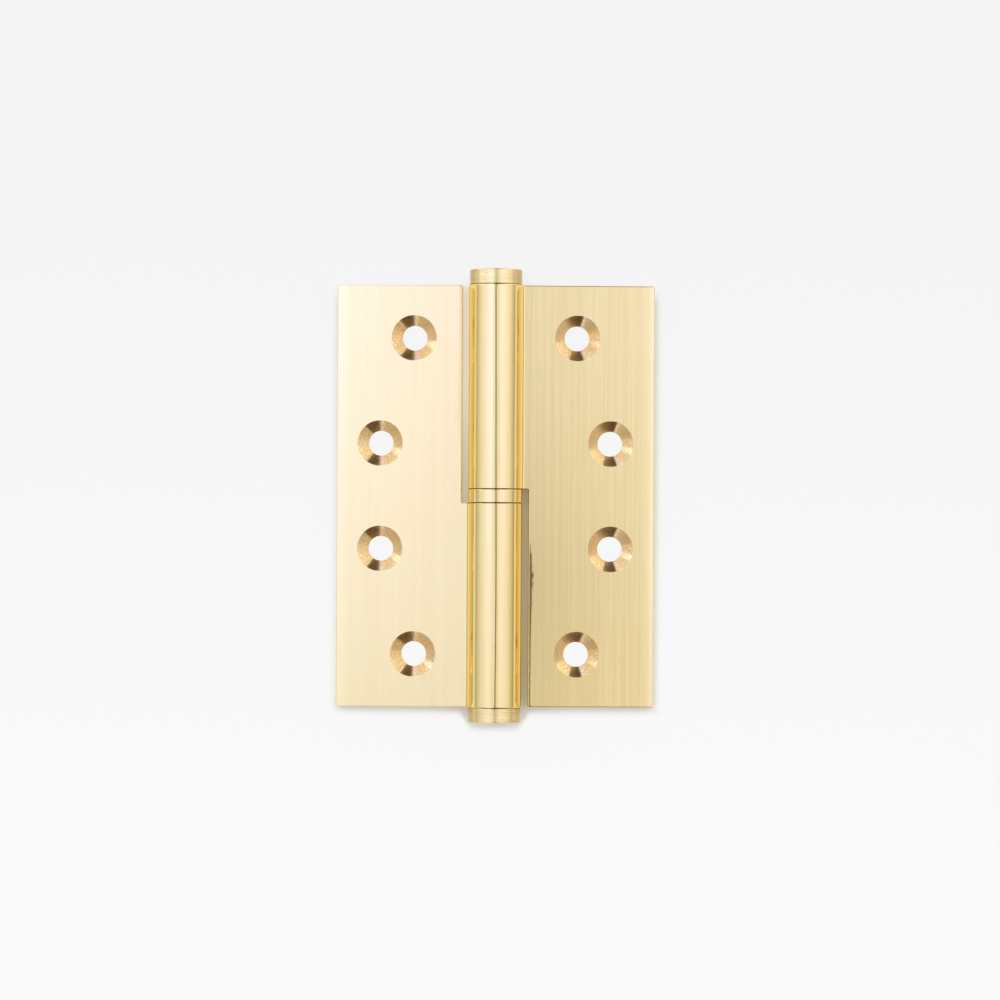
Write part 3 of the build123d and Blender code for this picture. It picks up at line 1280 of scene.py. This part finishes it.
@dataclass
class LightTent:
    """A vault of soft light along the pin, seen by the metal but not by the camera.

    Each stop is an angle from straight up, in degrees towards +X, and the light's brightness
    there in red, green and blue, where 1 shows white. One set of stops holds at the tent's
    +Y end and one at its -Y end, and they blend over the middle.

    Attributes:
        far: stops at the +Y end.
        near: stops at the -Y end.
        radius: radius of the vault in metres.
        half_length: half of its length in metres.
        blend: half of the length that the two ends blend over, in metres.
        parting: how fast the left and the right soft box draw back towards the -Y end, and then
            towards the +Y end, metres across for one along.
        parting_start: how far from the middle they begin to, in metres.
        dim: light left where they have parted, which doubles towards +X.
        seam: places along the tent in metres and the angle of the dark seam between the boxes.
        seam_width: half of the seam's width in degrees.
        seam_soft: width of its soft border in degrees.
        seam_depth: share of each colour that is missing in the seam.
        corner: light of the low outer corners.
        corner_tint: how much warmer it is in all of them but the key lamp's.
        corner_level: how bright each corner is, left and right at the -Y end, then at the +Y end.
        belt: light of the low belt at each end.
        lamps: the key lamp, low at the top left, and the fill lamp, low at the top right.
    """

    far: tuple[tuple[float, float, float, float], ...]
    near: tuple[tuple[float, float, float, float], ...]
    radius: float = 0.6
    half_length: float = 0.9
    blend: float = 0.1
    parting: tuple[tuple[float, float], tuple[float, float]] = ((0.28, 1.25), (0.25, 0.9))
    parting_start: float = 0.1
    dim: tuple[float, float, float] = (0.044, 0.022, 0.004)
    seam: tuple[tuple[float, float], ...] = (
        (-0.3, 1.0), (-0.072, 3.8), (-0.035, 6.4), (0.046, 2.1), (0.087, 0.0), (0.3, 0.0))
    seam_width: float = 1.7
    seam_soft: float = 0.8
    seam_depth: tuple[float, float, float] = (0.84, 0.85, 0.9)
    corner: tuple[float, float, float] = (1.1, 1.07, 0.96)
    corner_tint: tuple[float, float, float] = (1.0, 0.95, 0.86)
    corner_level: tuple[tuple[float, float], tuple[float, float]] = ((0.5, 0.58), (0.95, 1.1))
    belt: tuple[float, float, float] = (0.8, 0.76, 0.64)
    lamps: tuple[Lamp, ...] = (
        Lamp((2.4, 2.5, 3.1), (0.1, 0.18), (
            (2, 0.34, 0.26), (0, -0.3, -0.42), (1, 0.12, 0.2), (1, 0.4, 0.32))),
        Lamp((1.5, 1.46, 1.4), (0.08, 0.16), ((2, 0.28, 0.2), (0, 0.4, 0.5), (1, 0.12, 0.2))),
    )

    def light(self, points: np.ndarray) -> np.ndarray:
        """Light sent by places on the tent.

        The stops are blended along the tent, with the seam and the outer corners laid over
        them. All is dim where the distance across is less than the parting times the distance
        along from where it starts, but for a low belt at each end. The lamps are laid over
        all that.

        Args:
            points: rows x columns x 3 places.

        Returns:
            Rows x columns x 3 values.
        """
        x, y, z = np.moveaxis(points, -1, 0)
        angle = np.degrees(np.arctan2(x, z))
        near, far = (
            np.stack([np.interp(angle, stops[:, 0], stops[:, band]) for band in (1, 2, 3)], -1)
            for stops in (np.array(self.near), np.array(self.far))
        )
        share = np.clip((y + self.blend) / 2 / self.blend, 0, 1)[..., None]
        level = near * (1 - share) + far * share
        seam = np.interp(y, *np.array(self.seam).T)
        dark = eased(np.abs(angle - seam), self.seam_width + self.seam_soft, self.seam_width)
        level = level * (1 - dark[..., None] * np.array(self.seam_depth))
        across, along = np.abs(x), np.abs(y)
        quarter_of = (y > 0).astype(int), (x > 0).astype(int)
        outer = (eased(along, 0.12, 0.28) * eased(across, 0.26, 0.4))[..., None]
        warm = np.where(((x < 0) & (y > 0))[..., None], 1.0, np.array(self.corner_tint))
        corner = np.array(self.corner_level)[quarter_of][..., None] * np.array(self.corner) * warm
        level = level * (1 - outer) + corner * outer
        parting = np.array(self.parting)[quarter_of] * (0.7 + 0.3 * eased(z, 0.26, 0.2))
        parted = parting * np.maximum(along - self.parting_start, 0)
        lit = eased(across - parted, -0.04, 0.0)[..., None]
        dim = (1 + eased(x, 0, 0.35))[..., None] * np.array(self.dim)
        level = level * lit + dim * (1 - lit)
        low = (eased(z, 0.08, 0.065) * eased(along, 0.5, 0.6))[..., None]
        level = level * (1 - low) + np.array(self.belt) * low
        for lamp in self.lamps:
            level = lamp.over(level, points)
        return level

    def build(self) -> None:
        """Makes the vault: a half circle carried along the pin, closed by a wall at each end."""
        stops = [stop[0] for stop in self.near + self.far]
        even, finer = np.linspace(-90, 90, 91), np.linspace(-5, 12, 35)
        angles = np.radians(np.unique(np.concatenate([stops, even, finer])))
        ys = np.linspace(-self.half_length, self.half_length, 73)
        walls = np.linspace(0.02, 1, 12)
        radii = self.radius * np.concatenate([walls, np.ones(len(ys) - 2), walls[::-1]])
        along = np.concatenate([np.full(12, ys[0]), ys[1:-1], np.full(12, ys[-1])])
        points = np.stack(np.broadcast_arrays(
            radii * np.sin(angles)[:, None], along[None], radii * np.cos(angles)[:, None]), -1)
        light = self.light(points)
        colours = np.concatenate([light, np.ones(light.shape[:2] + (1,))], -1)
        tent = painted_grid("light_tent", points, colours, "light")
        tent.visible_camera = False
        material = bpy.data.materials.new("light_tent_glow")
        material.use_nodes = True
        material.cycles.emission_sampling = "NONE"
        tree = material.node_tree
        tree.nodes.clear()
        paint = add_node(tree, "ShaderNodeAttribute", attribute_name="light")
        glow = add_node(tree, "ShaderNodeEmission", {
            "Color": paint.outputs["Color"], "Strength": 1.0})
        add_node(tree, "ShaderNodeOutputMaterial", {"Surface": glow.outputs[0]})
        tent.data.materials.append(material)


@dataclass
class Studio:
    """Pale table, light tent and the camera straight above.

    The table glows by itself where the photograph's has no shadow. The rest is matt, and the
    lamps light it so that it looks just as bright where no piece shades it.

    Attributes:
        table: colour of the far table and of the room behind it.
        table_top: colour of the table behind the hinge.
        table_foot: colour of the table in front of it, where the light is a little stronger.
        bounce: colour of the light that the brass throws into the gaps beside the knuckles.
        albedo: how much light the matt table sends back beside the hinge, and how much more
            for each metre towards +Y.
        fill: light of a wide lamp that reaches the table but isn't mirrored in the metal.
        fill_size: its width in metres.
        fill_place: its place in metres.
        table_glow: share of the table's brightness that is painted glow, which no shadow dims, at
            the hinge's outline.
        camera_place: the camera's place in millimetres.
        camera_turn: its small turns about X, Y and Z from looking straight down, in radians.
        focal_pixels: focal length in pixels of the photograph.
        image_pixels: the photograph's width.
    """

    table: str = "#F4F4F5"
    table_top: str = "#F4F4F5"
    table_foot: str = "#FAFAFA"
    bounce: str = "#EED6A4"
    albedo: tuple[float, float] = (0.93, -0.9)
    fill: tuple[float, float, float] = (0.80, 0.945, 0.56)
    fill_size: float = 0.6
    fill_place: tuple[float, float, float] = (0.0, 0.2, 0.55)
    table_glow: float = 0.12
    camera_place: tuple[float, float, float] = (9.41, -8.54, 920.0)
    camera_turn: tuple[float, float, float] = (0.00836, 0.00897, 0.00487)
    focal_pixels: float = 3798.7
    image_pixels: float = 1000.0

    def glow(self, x: np.ndarray, y: np.ndarray) -> np.ndarray:
        """Colour of the table's own glow and the share of its brightness that is glow.

        The share is low in a rim round the hinge, so a close contact shadow is left there,
        low in the gaps beside the knuckles, and high under the screw holes and further out.

        Args:
            x: places across in millimetres.
            y: places along the pin in millimetres.

        Returns:
            Red, green, blue, the share, and how far the brass warms the glow there.
        """
        reach, end, cap_height = 38, 51, 4
        across, along = np.abs(x), np.abs(y)
        under = eased(across, 10, 14) * eased(across, reach, reach - 3)
        under *= eased(along, end - 2, end - 6)
        cap = cap_height * eased(across, 9, 5)
        away = np.maximum(np.maximum(across - reach, along - end) - cap, 0)
        behind = eased(y, end - 5, end - 0.5)
        rim = self.table_glow + (0.86 - self.table_glow) * behind
        share = rim + (0.94 - rim) * eased(away, 0.2, 2.6)
        share += 0.06 * eased(away, 2.6, 300) + 0.86 * under
        gap = eased(across, 13, 8.6) * eased(along, end + 0.2, end - 0.6)
        left = eased(x, 4, -4)
        gap_share = 0.11 + left * (0.25 + 0.38 * eased(y, -2, 30))
        share = share * (1 - gap) + gap_share * gap
        foot = (eased(y, 120, -120) * eased(np.hypot(x, y), 900, 300))[..., None]
        far = eased(np.hypot(x, y), 300, 900)[..., None]
        top, low, room = (
            np.array(linear(colour)[:3]) for colour in (self.table_top, self.table_foot, self.table)
        )
        colour = (top * (1 - foot) + low * foot) * (1 - far) + room * far
        warm = gap * (1 - 0.4 * left)
        return np.concatenate([colour, share[..., None], warm[..., None]], -1)

    def build_table(self) -> None:
        """Makes the table top, a grid that is finer near the hinge."""
        out = np.array([6000, 2000, 900, 600, 400, 300, 220, 160, 120, 90, 75])  # coarse rows
        xs = np.concatenate([-out, spaced(-60, 60, 0.4), out[::-1]])
        ys = np.concatenate([-out, spaced(-66, 66, 0.4), out[::-1]])
        x, y = np.meshgrid(xs, ys)
        points = np.stack([x * MM, y * MM, 0 * x], -1)
        glow = self.glow(x, y)
        table = painted_grid("table", points, glow[..., :4], "glow")
        albedo = np.clip(self.albedo[0] + self.albedo[1] * y * MM, 0.8, 1)
        for name, values in (("warmth", glow[..., 4]), ("albedo", albedo)):
            layer = table.data.attributes.new(name, "FLOAT", "POINT")
            layer.data.foreach_set("value", values.astype(np.float32).reshape(-1))
        # Painted glow: emission laid over the matt table by the painted share, so shade stays only
        # where that share is low.
        material = bpy.data.materials.new("table_matt_with_painted_glow")
        material.use_nodes = True
        material.cycles.emission_sampling = "NONE"
        tree = material.node_tree
        tree.nodes.clear()
        path = add_node(tree, "ShaderNodeLightPath").outputs
        seen = add_node(tree, "ShaderNodeMath", {
            0: path["Is Camera Ray"], 1: path["Is Glossy Ray"]},
            operation="MAXIMUM").outputs[0]
        seen = add_node(tree, "ShaderNodeMath", {
            0: seen, 1: path["Is Transmission Ray"]}, operation="MAXIMUM").outputs[0]
        paint = add_node(tree, "ShaderNodeAttribute", attribute_name="glow").outputs
        share = add_node(tree, "ShaderNodeMath", {
            0: paint["Alpha"], 1: seen}, operation="MULTIPLY").outputs[0]
        albedo = add_node(tree, "ShaderNodeAttribute", attribute_name="albedo").outputs["Fac"]
        matt = add_node(tree, "ShaderNodeBsdfDiffuse", {"Color": albedo}).outputs[0]
        sky = add_node(tree, "ShaderNodeAmbientOcclusion", {
            "Distance": 0.02}, samples=4).outputs["AO"]
        walled = add_node(tree, "ShaderNodeMapRange", {
            "Value": sky, "From Min": 0.7, "From Max": 0.35}).outputs[0]
        tinted = add_node(tree, "ShaderNodeMix", {
            0: walled, 6: paint["Color"], 7: linear(self.bounce)}, data_type="RGBA").outputs[2]
        plain, brassy = (
            add_node(tree, "ShaderNodeEmission", {"Color": colour, "Strength": 1.0}).outputs[0]
            for colour in (paint["Color"], tinted)
        )
        warmth = add_node(tree, "ShaderNodeAttribute", attribute_name="warmth").outputs["Fac"]
        glow = add_node(tree, "ShaderNodeMixShader", {0: warmth, 1: plain, 2: brassy}).outputs[0]
        both = add_node(tree, "ShaderNodeMixShader", {0: share, 1: matt, 2: glow}).outputs[0]
        add_node(tree, "ShaderNodeOutputMaterial", {"Surface": both})
        table.data.materials.append(material)

    def build_light(self) -> None:
        """Makes the tent, the wide lamp over the table and the pale room outside."""
        LightTent(
            far=(
                (-90, 0.50, 0.47, 0.40), (-78, 0.74, 0.72, 0.68), (-62, 1.00, 1.00, 1.04),
                (-46, 1.10, 1.08, 1.36), (-34, 1.26, 1.21, 1.74), (-20, 1.38, 1.33, 1.95),
                (-14, 1.38, 1.36, 1.90), (-10, 1.11, 1.10, 1.42), (-2.0, 0.97, 0.97, 1.08),
                (2.0, 0.92, 0.92, 0.98), (8, 0.98, 0.95, 0.97), (13, 0.99, 0.97, 1.01),
                (22, 1.20, 1.18, 1.50), (36, 1.24, 1.20, 1.48), (52, 1.08, 1.06, 1.16),
                (62, 1.04, 0.99, 0.96), (76, 0.80, 0.72, 0.58), (90, 0.46, 0.38, 0.28),
            ),
            near=(
                (-90, 0.46, 0.42, 0.34), (-78, 0.66, 0.61, 0.50), (-62, 0.84, 0.80, 0.74),
                (-46, 0.96, 0.96, 1.00), (-34, 1.02, 1.04, 1.14), (-20, 1.02, 1.04, 1.14),
                (-14, 0.94, 0.94, 1.05), (-10, 0.96, 0.95, 1.03), (0.0, 0.92, 0.92, 0.96),
                (6, 0.88, 0.82, 0.70), (8, 0.87, 0.78, 0.59), (13, 0.95, 0.86, 0.73),
                (22, 1.06, 1.01, 1.14), (36, 1.06, 1.02, 1.14), (52, 0.96, 0.91, 0.92),
                (62, 0.92, 0.85, 0.76), (76, 0.66, 0.58, 0.46), (90, 0.42, 0.34, 0.24),
            ),
        ).build()
        lamp = bpy.data.lights.new("table_fill", "AREA")
        lamp.size = self.fill_size
        lamp.color = self.fill
        lamp.energy = math.pi * lamp.size**2  # so its brightness stays when its size changes
        wide = bpy.data.objects.new("table_fill", lamp)
        wide.location = self.fill_place
        wide.visible_camera = wide.visible_glossy = False
        bpy.context.scene.collection.objects.link(wide)
        world = bpy.data.worlds.new("room")
        world.use_nodes = True
        world.node_tree.nodes["Background"].inputs["Color"].default_value = linear(self.table)
        bpy.context.scene.world = world

    def build_camera(self) -> None:
        """Puts the camera where the photograph was taken from."""
        data = bpy.data.cameras.new("camera")
        data.lens = self.focal_pixels / self.image_pixels * data.sensor_width
        data.clip_start, data.clip_end = 0.01, 50.0
        camera = bpy.data.objects.new("camera", data)
        camera.location = [v * MM for v in self.camera_place]
        camera.rotation_euler = self.camera_turn
        bpy.context.scene.collection.objects.link(camera)
        bpy.context.scene.camera = camera

    def build(self) -> None:
        """Makes the whole studio."""
        self.build_table()
        self.build_light()
        self.build_camera()
        bpy.context.scene.view_settings.view_transform = "Standard"


def main() -> None:
    """Builds the hinge piece by piece, then the studio."""
    logging.basicConfig(level=logging.INFO, format="%(name)s: %(message)s")
    sizes = Sizes.from_frame()
    drawn, fine, polished = DRAWN_BRASS.build(), FINE_BRASS.build(), POLISHED_BRASS.build()
    cut, sawn = CUT_BRASS.build(), SAWN_BRASS.build()
    turned, steel = TURNED_BRASS.build(), GROUND_STEEL.build()
    running = sizes.pin + sizes.running_fit
    pieces = [
        (Leaf("door_leaf", "door", sizes, False, running), [drawn, polished, cut, sawn]),
        (Leaf("frame_leaf", "frame", sizes, True, sizes.pin, bar=500.0),
         [fine, polished, cut, sawn]),
        (Pin("hinge_pin", "frame", "pin_steel", sizes), [steel]),
        (Washer("thrust_washer", "washer", "polished_brass", sizes), [polished, sawn]),
        (Cap("top_cap", "door", "turned_brass", sizes, False, bore=running), [turned]),
        (Cap("bottom_cap", "frame", "turned_brass", sizes, True, bore=sizes.pin), [turned]),
    ]
    for maker, finishes in pieces:
        piece = maker.dress(finishes)
        LOG.info("%s has %d faces", piece.name, len(piece.data.polygons))
    Studio().build()


if __name__ == "__main__":
    main()
